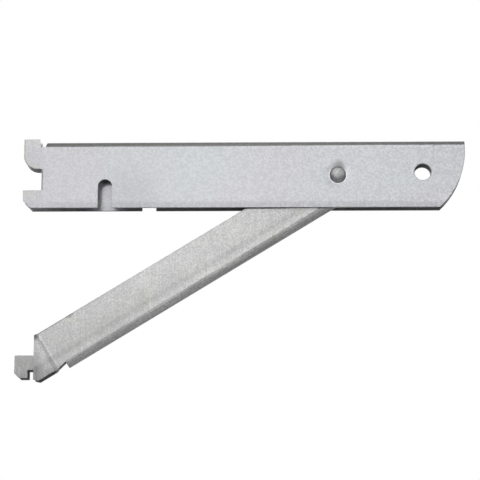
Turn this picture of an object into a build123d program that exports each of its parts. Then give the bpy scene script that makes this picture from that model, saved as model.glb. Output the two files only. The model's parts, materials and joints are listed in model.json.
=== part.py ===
from build123d import *
import os
from math import atan2, cos, radians, sin, sqrt, tan

# Double shelf bracket: a folded channel arm that hooks into a twin-slotted upright, and a folded
# channel strut that swings between the arm's walls on one rivet.
# Frame: X forwards along the arm, Y across it, Z up, in millimetres.
# Origin: middle of the arm, on the upright's front face, at the underside of the upper hooks.

# Arm: sheet and channel section
arm_sheet = 1.5
arm_width = 13.2
arm_fold = 3.0
shelf_height = 19.8
skirt_depth = 28.85

# Arm: front end, an arc that stands furthest forward at its own height
arm_reach = 305.0
nose_arc = 57.0
nose_arc_height = 12.9

# Arm: upper hooks and lower tabs behind the upright's face
hook_length = 13.0
hook_height = 22.0
hook_round = 9.5
hook_back_width = 11.4
tab_length = 13.2
tab_gap = 15.75
tab_chamfer = 5.5

# Arm: relief between the upper hooks and the first of the top face
relief_start = -1.0
relief_end = 2.5
relief_slant = 1.2
relief_below_fold = 0.5

# Arm: hole through both walls near the front
front_hole = 12.0
front_hole_setback = 30.4
front_hole_drop = 3.2

# Arm: one slot in each wall, open at the lower edge
slot_width = 10.0
slot_height = 21.0
near_slot_place = 46.1
far_slot_place = 77.4

# Pivot: place, rivet and the seat pressed into the arm's walls under each head
pivot_place = 213.8
pivot_drop = 5.2
shank = 7.0
head = 11.7
head_height = 2.5
head_edge = 0.5
shank_clearance = 0.06
seat_depth = 0.4
seat_margin = 0.2
seat_slope_width = 4.4

# Strut: sheet, channel section and its lie at rest
strut_sheet = 1.5
side_gap = 0.7
strut_depth = 32.6
strut_fold_flat = 0.1
strut_angle = 31.5
pivot_to_open_edge = 14.1
stop_gap = 0.3
tip_corner = 3.0

# Strut: lower end, measured along the strut from the pivot
web_end = 235.5
step_after_fold = 6.9
step_run = 2.0
step_bend = 0.8
plate_depth = 29.8
fold_relief = 0.5

# Strut: hooks, placed by the upright's front face and the height below the arm's hooks
strut_shoulder = -2.5
strut_hook_drop = 135.8
strut_hook_length = 13.5
strut_hook_height = 16.1
strut_hook_chamfer = 3.4
strut_hook_corner = 0.8
lip_slot = 4.0
lip_slot_height = 5.7
heel_drop = 1.1
heel_width = 3.8

# Values that follow from the sizes above
arm_half = arm_width / 2
arm_inner_half = arm_half - arm_sheet
arm_inner_top = shelf_height - arm_sheet
fold_line = shelf_height - arm_fold
strut_half = arm_inner_half - side_gap
strut_hook_half = arm_half
strut_fold = strut_half - strut_fold_flat / 2
step_start = web_end + step_after_fold
past_wall = arm_width
pivot = Vector(pivot_place, 0, -pivot_drop)
seat = head / 2 + seat_margin
seat_rim = seat + seat_slope_width


def through_both(outline):
    """A side outline, drawn in X and Z, as a prism across the bracket."""
    return extrude(Plane.XZ * outline, amount=past_wall, both=True)


def hole_through_both(centre, diameter):
    """A round hole through both walls."""
    return Pos(centre) * Rot(90, 0, 0) * Cylinder(diameter / 2, 2 * past_wall)


def corners_at(outline, *places):
    """The corners of an outline that lie nearest to the given places."""
    return [outline.vertices().sort_by_distance(place)[0] for place in places]


def wall_pair(side_solid):
    """A solid on the near side, with its mirror image on the far side."""
    return side_solid + mirror(side_solid, about=Plane.XZ)


def channel_section(half_width, top, bottom, sheet, fold):
    """An inverted channel of even sheet, as a face in Y and Z."""
    outer = Pos(0, (top + bottom) / 2) * Rectangle(2 * half_width, top - bottom)
    outer = fillet(outer.vertices().group_by(Axis.Y)[-1], fold)
    inner_top = top - sheet
    inner = Pos(0, (inner_top + bottom) / 2) * Rectangle(2 * (half_width - sheet), inner_top - bottom)
    inner = fillet(inner.vertices().group_by(Axis.Y)[-1], fold - sheet)
    return outer - inner


def arm_side_outline():
    """The arm from the relief to the front arc, in X and Z."""
    centre_x = arm_reach - nose_arc
    low_x = centre_x + sqrt(nose_arc**2 - (skirt_depth + nose_arc_height) ** 2)
    high_x = centre_x + sqrt(nose_arc**2 - (shelf_height - nose_arc_height) ** 2)
    rear_low = (relief_end, -skirt_depth)
    front_low = (low_x, -skirt_depth)
    front_most = (arm_reach, nose_arc_height)
    front_high = (high_x, shelf_height)
    rear_high = (relief_end + relief_slant, shelf_height)
    rear_fold = (relief_end, fold_line - relief_below_fold)
    return make_face([
        Line(rear_low, front_low),
        ThreePointArc(front_low, front_most, front_high),
        Polyline(front_high, rear_high, rear_fold, rear_low),
    ])


def arm_hook_outline():
    """Upper hook, bearing edge and lower tab, back from the relief, in X and Z."""
    relief_floor = fold_line - relief_below_fold
    outline = make_face(Polyline(
        (relief_end, -skirt_depth),
        (-tab_length + tab_chamfer, -skirt_depth),
        (-tab_length, -skirt_depth + tab_chamfer),
        (-tab_length, -tab_gap),
        (0, -tab_gap),
        (0, 0),
        (-hook_length, 0),
        (-hook_length, hook_height),
        (-hook_length + hook_back_width, hook_height),
        (relief_start, relief_floor),
        (relief_end, relief_floor),
        close=True,
    ))
    return fillet(corners_at(outline, (-hook_length, 0)), hook_round)


def arm_wall_slot(place):
    """One slot with a round top, open at the lower edge, in X and Z."""
    radius = slot_width / 2
    round_centre = slot_height - skirt_depth - radius
    stem = Pos(place, round_centre - slot_height / 2) * Rectangle(slot_width, slot_height)
    return stem + Pos(place, round_centre) * Circle(radius)


def seat_slope(wall_face):
    """One face of the slope round the rivet's seat, as two equal arcs between the seat and the wall."""
    seat_end = (seat, wall_face + seat_depth)
    half_way = (seat + seat_slope_width / 2, wall_face + seat_depth / 2)
    wall_end = (seat_rim, wall_face)
    return [
        TangentArc(seat_end, half_way, tangent=(1, 0)),
        TangentArc(wall_end, half_way, tangent=(-1, 0)),
    ]


def rivet_seat():
    """The near wall around the rivet, pressed in to a flat seat, as a disc about the Y axis."""
    outer, inner = -arm_half, -arm_inner_half
    disc = make_face([
        Line((0, outer + seat_depth), (seat, outer + seat_depth)),
        *seat_slope(outer),
        Line((seat_rim, outer), (seat_rim, inner)),
        *seat_slope(inner),
        Polyline((seat, inner + seat_depth), (0, inner + seat_depth), (0, outer + seat_depth)),
    ])
    return revolve(disc, axis=Axis.Y)


def make_arm():
    section = channel_section(arm_half, shelf_height, -skirt_depth, arm_sheet, arm_fold)
    channel = Pos(relief_end, 0, 0) * extrude(Plane.YZ * section, amount=arm_reach - relief_end)
    channel &= through_both(arm_side_outline())

    hook = extrude(Plane.XZ.offset(arm_inner_half) * arm_hook_outline(), amount=arm_sheet)
    arm = channel + wall_pair(hook)

    for side in (Rot(0, 0, 0), Rot(0, 0, 180)):
        disc_hole = side * Pos(0, -(arm_half + arm_inner_half) / 2, 0) * Rot(90, 0, 0)
        arm -= Pos(pivot) * disc_hole * Cylinder(seat_rim, arm_sheet)
        arm += Pos(pivot) * side * rivet_seat()

    arm -= hole_through_both(pivot, shank)
    arm -= hole_through_both((arm_reach - front_hole_setback, 0, -front_hole_drop), front_hole)
    arm -= extrude(Plane.XZ * arm_wall_slot(near_slot_place), amount=past_wall)
    arm -= extrude(Plane.XZ * arm_wall_slot(far_slot_place), amount=-past_wall)
    return arm


def strut_tip():
    """How far the strut runs past the pivot, so that its rounded corner stops inside the arm's folds."""
    fold_inside = arm_fold - arm_sheet
    under_fold = max(0, fold_inside - side_gap)
    stop_height = arm_inner_top - fold_inside + sqrt(fold_inside**2 - under_fold**2)
    rise = stop_height + pivot_drop - stop_gap
    slope = radians(strut_angle)
    corner_rise = rise - tip_corner - (pivot_to_open_edge - tip_corner) * cos(slope)
    return corner_rise / sin(slope) + tip_corner


def strut_point(along, depth):
    """Rest place, in X and Z, of a point at a distance along the strut and a depth below its open edge."""
    slope = radians(strut_angle)
    below = depth - pivot_to_open_edge
    return (
        pivot_place + along * cos(slope) + below * sin(slope),
        -pivot_drop + along * sin(slope) - below * cos(slope),
    )


def strut_at_rest(solid):
    """Turns a solid from the strut's own frame, with the pivot at its origin, to its rest place."""
    return Pos(pivot) * Rot(0, -strut_angle, 0) * solid


def strut_channel():
    """The folded length of the strut, open upwards, in the strut's own frame."""
    top, bottom = pivot_to_open_edge, pivot_to_open_edge - strut_depth
    tip = strut_tip()
    upside_down = channel_section(strut_half, -bottom, -top, strut_sheet, strut_fold)
    section = mirror(upside_down, about=Plane.XZ)
    channel = Pos(-web_end, 0, 0) * extrude(Plane.YZ * section, amount=web_end + tip)
    side = Pos((tip - web_end) / 2, (top + bottom) / 2) * Rectangle(tip + web_end, strut_depth)
    side = fillet(corners_at(side, (tip, top)), tip_corner)
    return channel & through_both(side)


def strut_end_wall():
    """The near wall's lower end, an even sheet stepped out to the hooks' plane, in the strut's own frame."""
    step_turn = atan2(strut_hook_half - strut_half, step_run)
    bend_lag = strut_sheet * tan(step_turn / 2)
    past_hook = step_start + 3 * strut_hook_length
    body_inner = strut_sheet - strut_half
    hook_inner = strut_sheet - strut_hook_half
    outer_first = (-step_start, -strut_half)
    outer_second = (-step_start - step_run, -strut_hook_half)
    inner_first = (-step_start - bend_lag, body_inner)
    inner_second = (-step_start - step_run - bend_lag, hook_inner)
    plan = make_face(Polyline(
        (-web_end, body_inner),
        inner_first,
        inner_second,
        (-past_hook, hook_inner),
        (-past_hook, -strut_hook_half),
        outer_second,
        outer_first,
        (-web_end, -strut_half),
        close=True,
    ))
    plan = fillet(corners_at(plan, outer_first, inner_second), step_bend)
    plan = fillet(corners_at(plan, inner_first, outer_second), step_bend + strut_sheet)
    return Pos(0, 0, pivot_to_open_edge - 2 * strut_depth) * extrude(plan, amount=3 * strut_depth)


def strut_hook_outline():
    """Side outline of the strut's lower end at rest, from the end of its fold to the hook, in X and Z."""
    open_end = strut_point(-web_end, 0)
    relief_point = strut_point(-web_end, strut_depth - strut_fold - fold_relief)
    edge_end = strut_point(-step_start - step_run, plate_depth)
    slope = radians(strut_angle)
    shoulder_top = open_end[1] - (open_end[0] - strut_shoulder) * sin(slope) / cos(slope)
    tab_top = -strut_hook_drop
    tab_bottom = tab_top - strut_hook_height
    tab_back = strut_shoulder - strut_hook_length
    slot_back = strut_shoulder - lip_slot
    slot_top = tab_bottom + lip_slot_height
    heel_x = strut_shoulder + heel_width
    heel_z = edge_end[1] - (edge_end[0] - heel_x) * sin(slope) / cos(slope)
    outline = make_face(Polyline(
        open_end,
        (strut_shoulder, shoulder_top),
        (strut_shoulder, tab_top),
        (tab_back, tab_top),
        (tab_back, tab_bottom + strut_hook_chamfer),
        (tab_back + strut_hook_chamfer, tab_bottom),
        (slot_back, tab_bottom),
        (slot_back, slot_top),
        (strut_shoulder, slot_top),
        (strut_shoulder, tab_bottom - heel_drop),
        (heel_x, heel_z),
        edge_end,
        relief_point,
        close=True,
    ))
    return fillet(corners_at(outline, (tab_back, tab_top)), strut_hook_corner)


def make_strut():
    end_walls = strut_at_rest(wall_pair(strut_end_wall())) & through_both(strut_hook_outline())
    strut = strut_at_rest(strut_channel()) + end_walls
    return strut - hole_through_both(pivot, shank + 2 * shank_clearance)


def make_rivet():
    """Shank and two domed heads, turned about the Y axis."""
    seat_face = arm_half - seat_depth
    crown = seat_face + head_height
    rim_top = seat_face + head_edge
    dome = crown - rim_top
    dome_radius = ((head / 2) ** 2 + dome**2) / (2 * dome)
    half_way = head / 4
    half_way_face = crown - dome_radius + sqrt(dome_radius**2 - half_way**2)
    half_profile = make_face([
        Polyline((0, 0), (shank / 2, 0), (shank / 2, seat_face), (head / 2, seat_face), (head / 2, rim_top)),
        ThreePointArc((head / 2, rim_top), (half_way, half_way_face), (0, crown)),
        Line((0, crown), (0, 0)),
    ])
    return Pos(pivot) * wall_pair(revolve(half_profile, axis=Axis.Y))


os.makedirs("parts", exist_ok=True)
pieces = {"arm": make_arm(), "strut": make_strut(), "pivot_rivet": make_rivet()}
for name, piece in pieces.items():
    print(name, "volume", round(piece.volume), "valid", piece.is_valid)
    export_step(piece, f"parts/{name}.step")
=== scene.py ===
import json
import math
from types import SimpleNamespace

import bpy
from mathutils import Matrix, Vector


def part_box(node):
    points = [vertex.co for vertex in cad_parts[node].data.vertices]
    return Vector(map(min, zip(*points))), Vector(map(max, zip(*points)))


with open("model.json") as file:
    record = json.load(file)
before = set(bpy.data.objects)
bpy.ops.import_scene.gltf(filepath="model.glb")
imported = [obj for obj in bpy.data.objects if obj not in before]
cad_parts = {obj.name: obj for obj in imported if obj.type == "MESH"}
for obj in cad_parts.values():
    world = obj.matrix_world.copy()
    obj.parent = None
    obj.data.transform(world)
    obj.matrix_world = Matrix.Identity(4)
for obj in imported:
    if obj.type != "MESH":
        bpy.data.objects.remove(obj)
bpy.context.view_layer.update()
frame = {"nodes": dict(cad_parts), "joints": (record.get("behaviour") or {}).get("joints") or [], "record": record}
print("frame loaded:", sorted(frame["nodes"]))

scene = bpy.context.scene
scene.view_settings.view_transform = "Standard"
pivot = Vector(frame["joints"][0]["pos_m"])
mounts = {mount["name"]: Vector(mount["pos_m"]) for mount in frame["record"]["mounts"]}
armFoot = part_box("arm")[0].z  # height of the arm's lower edge
white = (1, 1, 1, 1)

# Lengths are in metres. In the dictionaries a ramp is its start and its end, which may be the smaller one,
# then the values there if they aren't 0 and 1.


# A node with its settings, and its inputs by name: a socket is linked, anything else is set
def put(tree, kind, inputs=None, **settings):
    node = tree.nodes.new(kind)
    for name, value in settings.items():
        setattr(node, name, value)
    for name, value in (inputs or {}).items():
        if isinstance(value, bpy.types.NodeSocket):
            tree.links.new(value, node.inputs[name])
        else:
            node.inputs[name].default_value = value
    return node


def sums(tree, operation, first, second=0.0, third=0.0):
    return put(tree, "ShaderNodeMath", {0: first, 1: second, 2: third}, operation=operation).outputs[0]


def product(tree, first, *others):
    for other in others:
        first = sums(tree, "MULTIPLY", first, other)
    return first


def vectorSum(tree, operation, first, second=(0.0, 0.0, 0.0)):
    return put(tree, "ShaderNodeVectorMath", {0: first, 1: second}, operation=operation).outputs[0]


def scaled(tree, vector, factor):
    return put(tree, "ShaderNodeVectorMath", {0: vector, "Scale": factor}, operation="SCALE").outputs[0]


def lengthOf(tree, vector):
    return put(tree, "ShaderNodeVectorMath", {0: vector}, operation="LENGTH").outputs["Value"]


# 1 where the mask is 0, and 0 where it is 1
def besides(tree, mask):
    return sums(tree, "SUBTRACT", 1.0, mask)


# Goes softly from low at start to high at end
def ramp(tree, value, start, end, low=0.0, high=1.0):
    limits = {"Value": value, "From Min": start, "From Max": end, "To Min": low, "To Max": high}
    return put(tree, "ShaderNodeMapRange", limits, interpolation_type="SMOOTHSTEP").outputs["Result"]


# 1 at a place, falling softly to 0 at half the width to either side
def band(tree, value, middle, width):
    rise = ramp(tree, value, middle - width / 2, middle)
    fall = ramp(tree, value, middle + width / 2, middle)
    return sums(tree, "MINIMUM", rise, fall)


# The tone stays where the mask is 0, and is multiplied by 1 + change where it is 1
def tinted(tree, tone, mask, change):
    return product(tree, tone, sums(tree, "MULTIPLY_ADD", mask, change, 1.0))


# Tints a tone by each mask, with the change of the same name
def shade(tree, tone, masks, changes):
    for name, mask in masks.items():
        tone = tinted(tree, tone, mask, changes[name])
    return tone


# In a colour mix, sockets 6 and 7 are the two colours and output 2 is the blend
def blendColour(tree, factor, first, second):
    return put(tree, "ShaderNodeMix", {0: factor, 6: first, 7: second}, data_type="RGBA").outputs[2]


def axesOf(tree, place):
    parts = put(tree, "ShaderNodeSeparateXYZ", {"Vector": place}).outputs
    return parts["X"], parts["Y"], parts["Z"]


# A place as seen from a centre, turned about Y
def turnedPlace(tree, place, centre, angle):
    inputs = {"Vector": place, "Location": centre, "Rotation": (0.0, angle, 0.0)}
    return put(tree, "ShaderNodeMapping", inputs, vector_type="TEXTURE").outputs["Vector"]


def newGroup(name, inputs, outputs):
    group = bpy.data.node_groups.new(name, "ShaderNodeTree")
    for label, kind, value in inputs:
        socket = group.interface.new_socket(label, in_out="INPUT", socket_type=kind)
        if value is not None:
            socket.default_value = value
    for label in outputs:
        group.interface.new_socket(label, in_out="OUTPUT", socket_type="NodeSocketFloat")
    return group, group.nodes.new("NodeGroupInput").outputs, group.nodes.new("NodeGroupOutput").inputs


zinc = {
    "cloudDetail": 3.0,
    "cloudRange": (0.32, 0.68),
    "grainDetail": 3.0,
    "grainRoughness": 0.6,
    "grainRange": (0.25, 0.75),
    "spangleBend": 0.0016,  # how far the fine grain bends the spangle's edges
    "spangleSoftness": 0.7,
    "spangleShare": 0.5,  # beside the fine grain
    "lineDrawn": (1.0, 1.0, 0.04),  # draws the lines out along Z
    "lineDetail": 2.0,
    "lineRange": (0.25, 0.75),
    "lineHeight": 0.4,  # beside the grain's height
    "bumpDistance": 0.0001,
    "shearedFade": 0.0002,  # soft border of the sheared edges
}


# Zinc plate: broad clouds, a soft spangle with fine grain, drawn lines, and the height of the last two
def makeZincPlate():
    group, given, out = newGroup(
        "zincPlate",
        [
            ("Vector", "NodeSocketVector", None),
            ("Cloud Scale", "NodeSocketFloat", 30.0),
            ("Spangle Scale", "NodeSocketFloat", 700.0),
            ("Grain Scale", "NodeSocketFloat", 1100.0),
            ("Line Scale", "NodeSocketFloat", 900.0),
        ],
        ("Cloud", "Grain", "Lines", "Height"),
    )
    vector = given["Vector"]
    inputs = {"Vector": vector, "Scale": given["Cloud Scale"], "Detail": zinc["cloudDetail"]}
    cloud = put(group, "ShaderNodeTexNoise", inputs).outputs["Fac"]
    inputs = {"Vector": vector, "Scale": given["Grain Scale"], "Detail": zinc["grainDetail"],
              "Roughness": zinc["grainRoughness"]}
    fine = put(group, "ShaderNodeTexNoise", inputs).outputs
    bent = vectorSum(group, "ADD", vector, scaled(group, fine["Color"], zinc["spangleBend"]))
    inputs = {"Vector": bent, "Scale": given["Spangle Scale"], "Smoothness": zinc["spangleSoftness"]}
    spangle = put(group, "ShaderNodeTexVoronoi", inputs, feature="SMOOTH_F1").outputs["Color"]
    spangle = put(group, "ShaderNodeSeparateColor", {"Color": spangle}).outputs["Red"]
    share = zinc["spangleShare"]
    grain = sums(group, "ADD", product(group, fine["Fac"], 1 - share), product(group, spangle, share))
    drawn = vectorSum(group, "MULTIPLY", vector, zinc["lineDrawn"])
    inputs = {"Vector": drawn, "Scale": given["Line Scale"], "Detail": zinc["lineDetail"]}
    lines = put(group, "ShaderNodeTexNoise", inputs).outputs["Fac"]
    group.links.new(ramp(group, cloud, *zinc["cloudRange"]), out["Cloud"])
    group.links.new(ramp(group, grain, *zinc["grainRange"]), out["Grain"])
    group.links.new(ramp(group, lines, *zinc["lineRange"]), out["Lines"])
    group.links.new(sums(group, "MULTIPLY_ADD", lines, zinc["lineHeight"], grain), out["Height"])
    return group


# 1 within the inner distance of a line along Y, falling softly to 0 at the outer distance
def makeRoundMark():
    group, given, out = newGroup(
        "roundMark",
        [
            ("Vector", "NodeSocketVector", None),
            ("Centre", "NodeSocketVector", None),
            ("Inner", "NodeSocketFloat", 0.005),
            ("Outer", "NodeSocketFloat", 0.01),
        ],
        ("Mask",),
    )
    away = vectorSum(group, "SUBTRACT", given["Vector"], given["Centre"])
    reach = lengthOf(group, vectorSum(group, "MULTIPLY", away, (1.0, 0.0, 1.0)))  # in X and Z alone
    group.links.new(ramp(group, reach, given["Outer"], given["Inner"]), out["Mask"])
    return group


zincPlate = makeZincPlate()
roundMark = makeRoundMark()
print("shared effects made")


def useGroup(tree, group, inputs):
    return put(tree, "ShaderNodeGroup", inputs, node_tree=group).outputs


def spot(tree, place, x, z, inner, outer):
    inputs = {"Vector": place, "Centre": (x, 0.0, z), "Inner": inner, "Outer": outer}
    return useGroup(tree, roundMark, inputs)["Mask"]


# A spot whose middle is given from the rivet's axis
def pivotSpot(tree, place, x, z, inner, outer):
    return spot(tree, place, pivot.x + x, pivot.z + z, inner, outer)


# 1 on the sheared edges of a sheet, between its inner and outer faces, which lie at these distances in Y
def sheared(tree, side, inner, outer):
    fade = zinc["shearedFade"]
    return product(tree, ramp(tree, side, inner, inner + fade), ramp(tree, side, outer, outer - fade))


def newMaterial(name):
    material = bpy.data.materials.new(name)
    material.use_nodes = True
    tree = material.node_tree
    tree.nodes.clear()
    shader = tree.nodes.new("ShaderNodeBsdfPrincipled")
    put(tree, "ShaderNodeOutputMaterial", {"Surface": shader.outputs["BSDF"]})
    place = tree.nodes.new("ShaderNodeTexCoord").outputs["Object"]
    return material, tree, shader, place


def finishZinc(tree, shader, colour, tone, plate, look):
    tree.links.new(scaled(tree, colour, tone), shader.inputs["Base Color"])
    tree.links.new(ramp(tree, plate["Grain"], 0.0, 1.0, *look["roughness"]), shader.inputs["Roughness"])
    shader.inputs["Metallic"].default_value = look["metallic"]
    inputs = {"Height": plate["Height"], "Strength": look["bump"], "Distance": zinc["bumpDistance"]}
    bump = put(tree, "ShaderNodeBump", inputs)
    tree.links.new(bump.outputs["Normal"], shader.inputs["Normal"])


def dress(node, material):
    for slot in node.material_slots:
        slot.material = material


rounding = {
    "radius": 0.00022,
    "segments": 2,
    "join": 1e-6,  # corners closer than this are one
    "flat": math.radians(0.5),  # triangles that turn less than this are one plain face
    "sharp": math.radians(35),  # edges that turn more than this are rounded
}


# Joins the loose triangles of a sheet into plain faces, then rounds its sheared edges
def softenEdges(node):
    weld = node.modifiers.new("joinFaces", "WELD")
    weld.merge_threshold = rounding["join"]
    plain = node.modifiers.new("plainFaces", "DECIMATE")
    plain.decimate_type = "DISSOLVE"
    plain.angle_limit = rounding["flat"]
    bevel = node.modifiers.new("shearedEdges", "BEVEL")
    bevel.width = rounding["radius"]
    bevel.segments = rounding["segments"]
    bevel.limit_method = "ANGLE"
    bevel.angle_limit = rounding["sharp"]
    bevel.use_clamp_overlap = False
    bevel.harden_normals = True


arm = {
    "lilac": (0.615, 0.604, 0.640, 1),
    "green": (0.594, 0.618, 0.640, 1),
    "greenAlong": (0.015, 0.06, 0.2, 1.0),  # little green near the hooks
    "pale": (0.606, 0.612, 0.600, 1),  # coined margins of the hooks
    "paleStrength": 0.85,
    "foldShadeColour": (0.600, 0.600, 0.590, 1),  # painted shade colour of the top
    "scales": {"Cloud Scale": 14.0, "Spangle Scale": 900.0, "Grain Scale": 1500.0},
    "metallic": 0.28,
    "roughness": (0.48, 0.54),
    "bump": 0.04,
    "sheet": (0.0051, 0.0066),  # inner and outer faces of the walls
    "insideFaces": (0.0054, 0.0052),  # distances from the middle, as are all those across the arm
    "nearWall": (0.001, -0.001),  # in Y
    # tones of the whole wall; the tones along it are painted light that evens out the lamp's fall-off
    "grainTone": (0.865, 1.125),
    "lineRise": (0.012, 0.002, 0.03, 0.14),  # the lines are stronger near the lower edge
    "alongTones": ((0.02, 0.13, 0.915, 0.985), (0.17, 0.25, 1.0, 1.045), (0.002, -0.002, 1.0, 0.945)),
    "dullPatch": (0.066, -0.018, 0.004, 0.030),  # X, Z, inner and outer radius, as for every spot
    # upper hooks in X and Z, and distances from the middle of the round corner of their nose
    "hookFace": (-0.0008, -0.0016),
    "hookFoot": (-0.0020, -0.0010),
    "hookTop": (0.0178, 0.0190),
    "noseRound": (-0.0035, 0.0095),
    "noseMargin": (0.0059, 0.0065),
    "noseLine": (0.0062, 0.0012),  # middle and width
    # painted shade on the outer edge of the nose
    "noseEdge": (0.0085, 0.0091),
    # tabs, and painted shade on the edge of the hook gap
    "tabFace": (-0.0015, -0.0035),
    "tabFoot": (-0.0225, -0.0200),
    "tabTop": (-0.0140, -0.0150),
    "gapEdge": (0.0006, 0.0018),  # middle and width
    "gapTop": (0.0004, -0.0008),
    "gapFoot": (-0.0162, -0.0150),
    # fold: painted shade on the top and its folds; heights from its lower end
    "fold": 0.0030,
    "foldStart": (0.0012, 0.0020),
    "foldShadeEdge": (-0.0001, 0.0003),
    "foldShadeDrop": (0.26, 0.10, 0.00018, 0.00070),  # how far it comes down the wall, along the arm
    "topShade": (0.0020, 0.0036, 0.36, 0.62),  # from the middle of the top to its folds
    "foldShade": (0.0052, 0.0064, 0.0, 0.06),  # and a little more on the folds
    "foldGlint": (-0.0026, 0.0),
    "edgesTop": (0.0, -0.0008),  # sheared edges lie below it
    # lower margin: heights above the lower edge, and strength along the arm; the lower edge itself gets painted
    # shade
    "skirt": (0.0056, 0.0030),
    "skirtAlong": (-0.004, 0.014, 0.25, 1.0),
    "lowEdge": (0.0006, 0.0001),
    "lowEdgeAlong": (0.10, 0.20, 1.0, 0.35),
    # marks round the rivet, from its axis: painted light on the seat's slope and in a ring round the head's lower
    # part, painted shade above the head and in the crevice at its top
    "seat": (0.0, 0.0, 0.0110, 0.0116),
    "seatSlope": (-0.0088, -0.0010, 0.0015, 0.0060),
    "shadeAboveRivet": (0.0010, 0.0064, 0.0004, 0.0068),
    "rivetRing": (0.0, 0.0, 0.0062, 0.0071),
    "ringTop": (0.0045, 0.0010),
    "rivetCrevice": (0.0, 0.0, 0.0060, 0.0072),
    "creviceFoot": (0.0030, 0.0050),
    # painted shade inside the walls
    "insideShade": (0.0042, 0.0032),  # above the lower edge
    "insideShadeAlong": (0.0, 0.04, 0.4, 1.0),
    "slot": 0.0461,  # middle of the near slot in X
    "litBySlot": (0.005, 0.018),  # distances from there
    "slotShade": (-0.0040, 0.0036, 0.0066),  # Z, inner and outer radius
    # front hole and front end: painted shade on their edges, and inside round the hole
    "holeEdge": (0.0063, 0.0067),
    "holeFace": (0.0063, 0.0065),
    "holeShade": (0.0080, 0.0110),
    "holeInside": (0.0065, 0.0062),
    "frontArc": (0.248, 0.0129, 0.0563, 0.0568),  # a spot that ends at the rolled edge
    "frontStart": (0.262, 0.270),
    "nicks": ((0.1228, 0.0163, 0.00032, 0.0008), (0.2827, 0.0159, 0.0004, 0.0010)),
    # how much paler or duller each mark is
    "changes": {
        "dullPatch": -0.09,
        "noseLine": -0.05,
        "noseEdge": -0.35,
        "gapEdge": -0.62,
        "foldGlint": 0.06,
        "skirt": -0.155,
        "lowEdge": -0.45,
        "sheared": -0.45,
        "holeEdge": -0.35,
        "frontEdge": -0.25,
        "seatSlope": 0.06,
        "shadeAboveRivet": -0.54,
        "rivetRing": 0.42,
        "rivetCrevice": -0.45,
        "insideShade": -0.62,
        "slotShade": -0.62,
        "holeShade": -0.45,
        "nick": -0.45,
    },
}


# The places that the marks of the arm are measured by
def armPlaces(tree, place):
    at = SimpleNamespace(place=place)
    at.x, at.y, at.z = axesOf(tree, place)
    at.side = sums(tree, "ABSOLUTE", at.y)
    at.rise = sums(tree, "SUBTRACT", at.z, armFoot)  # above the lower edge
    at.overFold = sums(tree, "SUBTRACT", at.z, mounts["shelf_face"].z - arm["fold"])
    at.overPivot = sums(tree, "SUBTRACT", at.z, pivot.z)
    at.seat = pivotSpot(tree, place, *arm["seat"])
    return at


# The coined margins of the hooks and tabs, the marks along the nose, and painted shade on the edges of the nose
# and the hook gap
def hookMarks(tree, at):
    roundX, roundZ = arm["noseRound"]
    back = sums(tree, "MAXIMUM", sums(tree, "SUBTRACT", roundX, at.x), 0.0)
    down = sums(tree, "MAXIMUM", sums(tree, "SUBTRACT", roundZ, at.z), 0.0)
    fromRound = lengthOf(tree, put(tree, "ShaderNodeCombineXYZ", {"X": back, "Z": down}).outputs[0])
    onHook = product(tree, ramp(tree, at.x, *arm["hookFace"]), ramp(tree, at.z, *arm["hookFoot"]))
    nose = ramp(tree, fromRound, *arm["noseMargin"])
    hookMargin = product(tree, onHook, sums(tree, "MAXIMUM", nose, ramp(tree, at.z, *arm["hookTop"])))
    tabMargin = product(tree, ramp(tree, at.x, *arm["tabFace"]), ramp(tree, at.z, *arm["tabFoot"]),
                        ramp(tree, at.z, *arm["tabTop"]))
    marks = {
        "noseLine": product(tree, onHook, band(tree, fromRound, *arm["noseLine"])),
        "noseEdge": product(tree, onHook, ramp(tree, fromRound, *arm["noseEdge"])),
        "gapEdge": product(tree, band(tree, at.x, *arm["gapEdge"]), ramp(tree, at.z, *arm["gapTop"]),
                           ramp(tree, at.z, *arm["gapFoot"])),
    }
    return sums(tree, "MAXIMUM", hookMargin, tabMargin), marks


# The paler line under the fold, the darker lower margin, and painted shade on edges that are sheared or rolled
# over
def edgeMarks(tree, at):
    hole = mounts["front_hole"]
    edges = product(tree, sheared(tree, at.side, *arm["sheet"]), ramp(tree, at.overFold, *arm["edgesTop"]))
    frontEdge = besides(tree, spot(tree, at.place, *arm["frontArc"]))
    return {
        "foldGlint": ramp(tree, at.overFold, *arm["foldGlint"]),
        "skirt": product(tree, ramp(tree, at.rise, *arm["skirt"]), ramp(tree, at.x, *arm["skirtAlong"])),
        "lowEdge": product(tree, ramp(tree, at.rise, *arm["lowEdge"]),
                           ramp(tree, at.x, *arm["lowEdgeAlong"])),
        "sheared": product(tree, edges, besides(tree, at.seat)),
        "holeEdge": product(tree, spot(tree, at.place, hole.x, hole.z, *arm["holeEdge"]),
                            ramp(tree, at.side, *arm["holeFace"])),
        "frontEdge": product(tree, frontEdge, ramp(tree, at.x, *arm["frontStart"])),
    }


# Painted light on the slope of the pressed seat, painted shade above the rivet's head and in the crevice at its
# top, and a painted highlight in a ring round its lower part
def seatMarks(tree, at):
    slope = pivotSpot(tree, at.place, *arm["seatSlope"])
    ring = pivotSpot(tree, at.place, *arm["rivetRing"])
    crevice = pivotSpot(tree, at.place, *arm["rivetCrevice"])
    return {
        "seatSlope": product(tree, at.seat, slope),
        "shadeAboveRivet": pivotSpot(tree, at.place, *arm["shadeAboveRivet"]),
        "rivetRing": product(tree, ring, ramp(tree, at.overPivot, *arm["ringTop"])),
        "rivetCrevice": product(tree, crevice, ramp(tree, at.overPivot, *arm["creviceFoot"])),
    }


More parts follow.
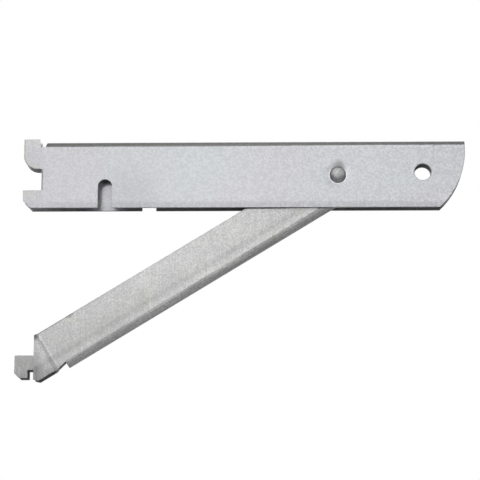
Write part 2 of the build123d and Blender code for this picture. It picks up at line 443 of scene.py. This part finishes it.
# Painted shade inside the lower edges, behind the round end of the near slot, and round the front hole
def insideMarks(tree, at):
    hole = mounts["front_hole"]
    inside = ramp(tree, at.side, *arm["insideFaces"])
    fromSlot = sums(tree, "ABSOLUTE", sums(tree, "SUBTRACT", at.x, arm["slot"]))
    return {
        "insideShade": product(tree, inside, ramp(tree, at.rise, *arm["insideShade"]),
                               # less painted shade by the slot, where light comes through it
                               ramp(tree, fromSlot, *arm["litBySlot"]),
                               ramp(tree, at.x, *arm["insideShadeAlong"])),
        "slotShade": product(tree, inside, spot(tree, at.place, arm["slot"], *arm["slotShade"])),
        "holeShade": product(tree, spot(tree, at.place, hole.x, hole.z, *arm["holeShade"]),
                             ramp(tree, at.side, *arm["holeInside"])),
    }


def makeArmZinc():
    material, tree, shader, place = newMaterial("armZinc")
    at = armPlaces(tree, place)
    plate = useGroup(tree, zincPlate, {"Vector": place, **arm["scales"]})
    green = product(tree, plate["Cloud"], ramp(tree, at.x, *arm["greenAlong"]))
    colour = blendColour(tree, green, arm["lilac"], arm["green"])
    margin, marks = hookMarks(tree, at)
    colour = blendColour(tree, product(tree, margin, arm["paleStrength"]), colour, arm["pale"])

    lines = sums(tree, "SUBTRACT", plate["Lines"], 0.5)  # about none on average
    tone = sums(tree, "MULTIPLY_ADD", lines, ramp(tree, at.rise, *arm["lineRise"]), 1.0)
    tone = product(tree, tone, ramp(tree, plate["Grain"], 0.0, 1.0, *arm["grainTone"]))
    # painted light along the wall, evening out the lamp's fall-off
    for limits in arm["alongTones"]:
        tone = product(tree, tone, ramp(tree, at.x, *limits))

    # Painted shade on the top, most along its folds
    foldShadeReach = sums(tree, "ADD", at.overFold, ramp(tree, at.x, *arm["foldShadeDrop"]))
    onTop = product(tree, ramp(tree, foldShadeReach, *arm["foldShadeEdge"]), ramp(tree, at.x, *arm["foldStart"]))
    colour = blendColour(tree, onTop, colour, arm["foldShadeColour"])
    shaded = sums(tree, "ADD", ramp(tree, at.side, *arm["topShade"]), ramp(tree, at.side, *arm["foldShade"]))
    tone = product(tree, tone, besides(tree, product(tree, onTop, shaded)))

    marks["dullPatch"] = spot(tree, place, *arm["dullPatch"])
    for someMarks in (marks, edgeMarks(tree, at), seatMarks(tree, at), insideMarks(tree, at)):
        tone = shade(tree, tone, someMarks, arm["changes"])
    nearWall = ramp(tree, at.y, *arm["nearWall"])
    for nick in arm["nicks"]:
        tone = tinted(tree, tone, product(tree, spot(tree, place, *nick), nearWall), arm["changes"]["nick"])
    finishZinc(tree, shader, colour, tone, plate, arm)
    return material


dress(frame["nodes"]["arm"], makeArmZinc())
softenEdges(frame["nodes"]["arm"])
print("arm dressed")

# Along is measured from the rivet's axis, less than 0 towards the hooks, and depth from the open edge
strut = {
    "slope": math.radians(31.5),
    "openEdge": 0.0141,  # height over the rivet's axis, square to the strut
    "grey": (0.554, 0.554, 0.553, 1),
    "pale": (0.587, 0.587, 0.583, 1),
    "warm": (0.605, 0.595, 0.540, 1),
    "scales": {"Cloud Scale": 60.0, "Spangle Scale": 1350.0, "Grain Scale": 1700.0},
    "metallic": 0.28,
    "roughness": (0.47, 0.55),
    "bump": 0.08,
    # warm stains: along, depth, size
    "stains": (
        (-0.198, 0.0166, 0.0085),
        (-0.162, 0.0192, 0.0095),
        (-0.2176, 0.0040, 0.0060),
        (-0.038, 0.0226, 0.0050),
        (-0.063, 0.0244, 0.0050),
        (-0.061, 0.0292, 0.0060),
    ),
    "grainTone": (0.77, 1.19),
    "lineTone": (0.93, 1.07),
    # painted light along the strut, evening out the lamp's fall-off
    "alongTones": ((-0.100, -0.205, 1.0, 0.85), (-0.2445, -0.2465, 1.0, 1.06)),
    # painted shade on the hooks and the lower part of their plates, in X and Z
    "hookFace": (0.0055, -0.0015),
    "hookTop": (-0.1290, -0.1390),
    "plateFace": (-0.0035, -0.0010),
    "plateLow": (-0.1400, -0.1480),
    # paler upper half, and painted shade on the open edge
    "upperHalf": (0.016, 0.006),
    "upperStart": (-0.095, -0.145),
    "upperEnd": (-0.238, -0.215),
    "openRim": (0.0012, 0.0003),
    "openRimShade": (-0.15, -0.235, 0.16, 0.42),
    # painted shadow of the arm's lower edge across the walls: heights from that edge, and places in X
    "crossingFoot": (-0.0010, -0.0004),
    "crossingTop": (0.004, 0.001),
    "crossingEnd": (0.190, 0.168),
    # lines that the die left beside the bend: depth, width, change
    "dieLines": ((0.0213, 0.0075, -0.18), (0.0257, 0.0030, 0.04)),
    # painted shade on the bend
    "bend": (0.0270, 0.0277),
    "bendEnd": (-0.2356, -0.2350),
    "bendShadeStart": 0.42,  # at its start
    "bendBottom": 0.0298,
    "bendFootShade": (-0.09, -0.18, 0.34, 0.13),
    "bendLines": (0.7, 1.3),
    "bendAlong": (-0.12, -0.22, 1.0, 0.80),
    # painted light on the creases and slope of the step, against their shade: along, width, change
    "step": ((-0.2420, 0.0012, 0.16), (-0.2426, 0.0018, 0.52), (-0.2436, 0.0034, 0.46),
             (-0.2446, 0.0024, 0.08)),
    "corner": (-0.2455, 0.0010, 0.0004, 0.0042),  # along, depth, inner and outer radius
    # painted shade on the sheared edges and inside the stepped plates: inner and outer faces of the walls and of
    # the stepped plates, and where they end
    "walls": (0.0029, 0.0044),
    "wallsEnd": (-0.2420, -0.2412),
    "wallsDepth": (0.0270, 0.0262),
    "plates": (0.0051, 0.0066),
    "platesStart": (-0.2462, -0.2470),
    "platesInside": (0.0053, 0.0051),
    # along, depth, inner and outer radius
    "nicks": ((-0.2182, 0.0003, 0.00040, 0.0020), (-0.2160, 0.0006, 0.00052, 0.0026),
              (-0.2140, 0.0002, 0.00028, 0.0014)),
    # how much paler or duller each mark is
    "changes": {
        "hooks": -0.34,
        "lowPlate": -0.38,
        "upperHalf": 0.10,
        "crossing": -0.64,
        "corner": -0.78,
        "sheared": -0.45,
        "platesInside": -0.35,
        "nick": -0.4,
    },
}


# The places that the marks of the strut are measured by, in its own lie and in the frame
def strutPlaces(tree, place):
    at = SimpleNamespace()
    at.own = turnedPlace(tree, place, pivot, -strut["slope"])
    at.along, at.across, at.height = axesOf(tree, at.own)
    at.depth = sums(tree, "SUBTRACT", strut["openEdge"], at.height)
    at.side = sums(tree, "ABSOLUTE", at.across)
    at.x, _, at.z = axesOf(tree, place)
    at.overArmFoot = sums(tree, "SUBTRACT", at.z, armFoot)
    return at


# A spot on the walls, by its place along the strut and its depth
def strutSpot(tree, at, along, depth, inner, outer):
    return spot(tree, at.own, along, strut["openEdge"] - depth, inner, outer)


# Painted shade on the hooks and plates, the paler upper half, the painted shadow of the arm's edge, a dark corner
# mark, and painted shade on the sheared edges and inside the plates
def strutMarks(tree, at):
    onWalls = product(tree, sheared(tree, at.side, *strut["walls"]),
                      ramp(tree, at.along, *strut["wallsEnd"]),
                      ramp(tree, at.depth, *strut["wallsDepth"]))
    pastStep = ramp(tree, at.along, *strut["platesStart"])
    onPlates = product(tree, sheared(tree, at.side, *strut["plates"]), pastStep)
    return {
        "hooks": product(tree, ramp(tree, at.x, *strut["hookFace"]), ramp(tree, at.z, *strut["hookTop"])),
        "lowPlate": product(tree, ramp(tree, at.z, *strut["plateLow"]),
                            ramp(tree, at.x, *strut["plateFace"])),
        "upperHalf": product(tree, ramp(tree, at.depth, *strut["upperHalf"]),
                             ramp(tree, at.along, *strut["upperStart"]),
                             ramp(tree, at.along, *strut["upperEnd"])),
        "crossing": product(tree, ramp(tree, at.overArmFoot, *strut["crossingFoot"]),
                            ramp(tree, at.overArmFoot, *strut["crossingTop"]),
                            ramp(tree, at.x, *strut["crossingEnd"])),
        "corner": strutSpot(tree, at, *strut["corner"]),
        "sheared": sums(tree, "MAXIMUM", onWalls, onPlates),
        "platesInside": product(tree, ramp(tree, at.side, *strut["platesInside"]), pastStep),
    }


# How much painted shade the bend takes, with fine lines drawn along it
def bendShade(tree, at):
    onBend = product(tree, ramp(tree, at.depth, *strut["bend"]), ramp(tree, at.along, *strut["bendEnd"]))
    bottom = ramp(tree, at.along, *strut["bendFootShade"])
    shaded = ramp(tree, at.depth, strut["bend"][1], strut["bendBottom"], strut["bendShadeStart"], bottom)
    swapped = put(tree, "ShaderNodeCombineXYZ", {"X": at.height, "Y": at.across, "Z": at.along}).outputs[0]
    lines = useGroup(tree, zincPlate, {"Vector": swapped})["Lines"]
    return product(tree, onBend, shaded, ramp(tree, lines, 0.0, 1.0, *strut["bendLines"]),
                   ramp(tree, at.along, *strut["bendAlong"]))


def makeStrutZinc():
    material, tree, shader, place = newMaterial("strutZinc")
    at = strutPlaces(tree, place)
    plate = useGroup(tree, zincPlate, {"Vector": place, **strut["scales"]})
    colour = blendColour(tree, plate["Cloud"], strut["grey"], strut["pale"])
    for along, depth, size in strut["stains"]:
        stain = product(tree, strutSpot(tree, at, along, depth, 0.0, size), plate["Grain"])
        colour = blendColour(tree, stain, colour, strut["warm"])

    tone = product(tree, ramp(tree, plate["Grain"], 0.0, 1.0, *strut["grainTone"]),
                   ramp(tree, plate["Lines"], 0.0, 1.0, *strut["lineTone"]))
    # painted light along the strut, evening out the lamp's fall-off
    for limits in strut["alongTones"]:
        tone = product(tree, tone, ramp(tree, at.along, *limits))
    # painted shade on the open edge and on the bend
    rim = product(tree, ramp(tree, at.depth, *strut["openRim"]), ramp(tree, at.along, *strut["openRimShade"]))
    tone = product(tree, tone, besides(tree, rim), besides(tree, bendShade(tree, at)))
    for depth, width, change in strut["dieLines"]:
        tone = tinted(tree, tone, band(tree, at.depth, depth, width), change)
    # painted light on the step's creases and slope
    for along, width, change in strut["step"]:
        tone = tinted(tree, tone, band(tree, at.along, along, width), change)
    tone = shade(tree, tone, strutMarks(tree, at), strut["changes"])
    for nick in strut["nicks"]:
        tone = tinted(tree, tone, strutSpot(tree, at, *nick), strut["changes"]["nick"])
    finishZinc(tree, shader, colour, tone, plate, strut)
    return material


dress(frame["nodes"]["strut"], makeStrutZinc())
softenEdges(frame["nodes"]["strut"])
print("strut dressed")

# Places and heights are from the rivet's axis. The head is painted with light and shade: a painted highlight on
# the crown and a painted glint, painted shade on its rim, its top and its lower half, and painted light at its
# lowest part
rivet = {
    "bright": (0.490, 0.490, 0.490, 1),
    "shaded": (0.208, 0.208, 0.220, 1),
    "crown": (0.0001, 0.0018, 0.0030, 0.0056),  # the painted highlight: X, Z, inner and outer radius
    "scales": {"Cloud Scale": 220.0, "Spangle Scale": 900.0, "Grain Scale": 1800.0},
    "metallic": 0.45,
    "roughness": (0.54, 0.62),
    "bump": 0.3,
    "grainTone": (0.90, 1.08),
    "scratchTurn": math.radians(28),
    "scratchScale": 1100.0,
    "scratchTone": (0.70, 1.24),
    "rim": (0.0, 0.0, 0.0048, 0.0057),  # a spot that ends at the painted shade of the rim
    "rimFoot": (-0.0050, -0.0034),
    "glint": (-0.0006, 0.0028, 0.0004, 0.0028),
    "above": (0.0047, 0.0058),
    "below": (0.0016, -0.0016),
    "lowest": (-0.0018, -0.0042),
    "changes": {"rim": -0.40, "glint": 0.16, "above": -0.5, "below": -0.20, "lowest": 0.30},
}


def makeRivetZinc():
    material, tree, shader, place = newMaterial("rivetZinc")
    height = sums(tree, "SUBTRACT", axesOf(tree, place)[2], pivot.z)
    plate = useGroup(tree, zincPlate, {"Vector": place, **rivet["scales"]})
    # painted highlight on the crown over the shaded colour
    colour = blendColour(tree, pivotSpot(tree, place, *rivet["crown"]), rivet["shaded"], rivet["bright"])
    turned = turnedPlace(tree, place, pivot, rivet["scratchTurn"])
    scratches = useGroup(tree, zincPlate, {"Vector": turned, "Line Scale": rivet["scratchScale"]})["Lines"]
    tone = product(tree, ramp(tree, plate["Grain"], 0.0, 1.0, *rivet["grainTone"]),
                   ramp(tree, scratches, 0.0, 1.0, *rivet["scratchTone"]))
    rim = besides(tree, pivotSpot(tree, place, *rivet["rim"]))
    # painted shade on the rim, top and lower half, a painted glint, and painted light at the lowest part
    marks = {
        "rim": product(tree, rim, ramp(tree, height, *rivet["rimFoot"])),
        "glint": pivotSpot(tree, place, *rivet["glint"]),
        "above": ramp(tree, height, *rivet["above"]),
        "below": ramp(tree, height, *rivet["below"]),
        "lowest": ramp(tree, height, *rivet["lowest"]),
    }
    finishZinc(tree, shader, colour, shade(tree, tone, marks, rivet["changes"]), plate, rivet)
    return material


dress(frame["nodes"]["pivot_rivet"], makeRivetZinc())
print("rivet dressed")

floor = {
    "height": -0.42,
    "half": 30.0,
    "colour": (0.80, 0.80, 0.80, 1),
    "paling": (0.9, 4.5, 0.72, 1.0),  # share of white by distance from the bracket
}


# Is 1 for rays that show the background: to the camera, in reflections and through glass
def seenRays(tree):
    path = tree.nodes.new("ShaderNodeLightPath").outputs
    seen = sums(tree, "MAXIMUM", path["Is Camera Ray"], path["Is Glossy Ray"])
    return sums(tree, "MAXIMUM", seen, path["Is Transmission Ray"])


# A plain pale floor, seen only from above, which pales to white far away
def makeFloor():
    half, z = floor["half"], floor["height"]
    mesh = bpy.data.meshes.new("floor")
    corners = [(-half, -half, z), (half, -half, z), (half, half, z), (-half, half, z)]
    mesh.from_pydata(corners, [], [(0, 1, 2, 3)])
    piece = bpy.data.objects.new("floor", mesh)
    scene.collection.objects.link(piece)
    material = bpy.data.materials.new("paleFloor")
    material.use_nodes = True
    tree = material.node_tree
    tree.nodes.clear()
    matt = put(tree, "ShaderNodeBsdfDiffuse", {"Color": floor["colour"]})
    glow = put(tree, "ShaderNodeEmission", {"Color": white, "Strength": 1.0})
    place = tree.nodes.new("ShaderNodeTexCoord").outputs["Object"]
    paleness = product(tree, seenRays(tree), ramp(tree, lengthOf(tree, place), *floor["paling"]))
    top = put(tree, "ShaderNodeMixShader", {0: paleness, 1: matt.outputs[0], 2: glow.outputs[0]})
    clear = tree.nodes.new("ShaderNodeBsdfTransparent")
    below = tree.nodes.new("ShaderNodeNewGeometry").outputs["Backfacing"]
    mix = put(tree, "ShaderNodeMixShader", {0: below, 1: top.outputs[0], 2: clear.outputs[0]})
    put(tree, "ShaderNodeOutputMaterial", {"Surface": mix.outputs[0]})
    mesh.materials.append(material)


makeFloor()

studio = {
    "ambient": 0.17,
    # place, target, size, power, spread in degrees
    "keyLamp": ((-0.43, -3.10, 0.46), (0.15, 0.0, 0.0), 0.84, 2.23, 44.0),
    "topLamp": ((0.12, -0.45, 0.55), (0.15, 0.0, -0.02), 0.40, 0.45, 180.0),
    "rearLamp": ((0.25, 1.50, 0.55), (0.15, 0.0, -0.03), 1.20, 9.0, 180.0),
}


# The room is white to the camera and in reflections, and lights matt surfaces softly
def makeRoom():
    world = bpy.data.worlds.new("room")
    scene.world = world
    world.use_nodes = True
    tree = world.node_tree
    tree.nodes.clear()
    limits = {"Value": seenRays(tree), "To Min": studio["ambient"], "To Max": 1.0}
    strength = put(tree, "ShaderNodeMapRange", limits).outputs["Result"]
    light = put(tree, "ShaderNodeBackground", {"Color": white, "Strength": strength})
    put(tree, "ShaderNodeOutputWorld", {"Surface": light.outputs[0]})


def makeLamp(name, place, target, size, power, spread):
    data = bpy.data.lights.new(name, "AREA")
    data.shape = "DISK"
    data.size = size
    data.energy = power
    data.spread = math.radians(spread)
    lamp = bpy.data.objects.new(name, data)
    lamp.location = place
    lamp.rotation_euler = (Vector(target) - Vector(place)).to_track_quat("-Z", "Y").to_euler()
    scene.collection.objects.link(lamp)


makeRoom()
for lampName in ("keyLamp", "topLamp", "rearLamp"):
    makeLamp(lampName, *studio[lampName])
print("room and lamps made")

camera = {
    "lens": 150.0,
    "sensor": 36.0,
    "eye": (0.20499, -1.40850, -0.32542),
    "azimuth": math.radians(2.5),
    "elevation": math.radians(-11.0),
    "roll": math.radians(0.3404),
}


# Looks back along its azimuth and elevation, turned by its roll
def makeCamera():
    data = bpy.data.cameras.new("camera")
    data.lens = camera["lens"]
    data.sensor_width = camera["sensor"]
    azimuth, elevation, roll = camera["azimuth"], camera["elevation"], camera["roll"]
    back = Vector((math.sin(azimuth) * math.cos(elevation), -math.cos(azimuth) * math.cos(elevation),
                   math.sin(elevation)))
    right = (-back).cross(Vector((0, 0, 1))).normalized()
    up = right.cross(-back)
    rolledRight = right * math.cos(roll) + up * math.sin(roll)
    rolledUp = up * math.cos(roll) - right * math.sin(roll)
    turn = Matrix((rolledRight, rolledUp, back)).transposed().to_4x4()
    piece = bpy.data.objects.new("camera", data)
    piece.matrix_world = Matrix.Translation(camera["eye"]) @ turn
    scene.collection.objects.link(piece)
    scene.camera = piece


makeCamera()
print("camera set")
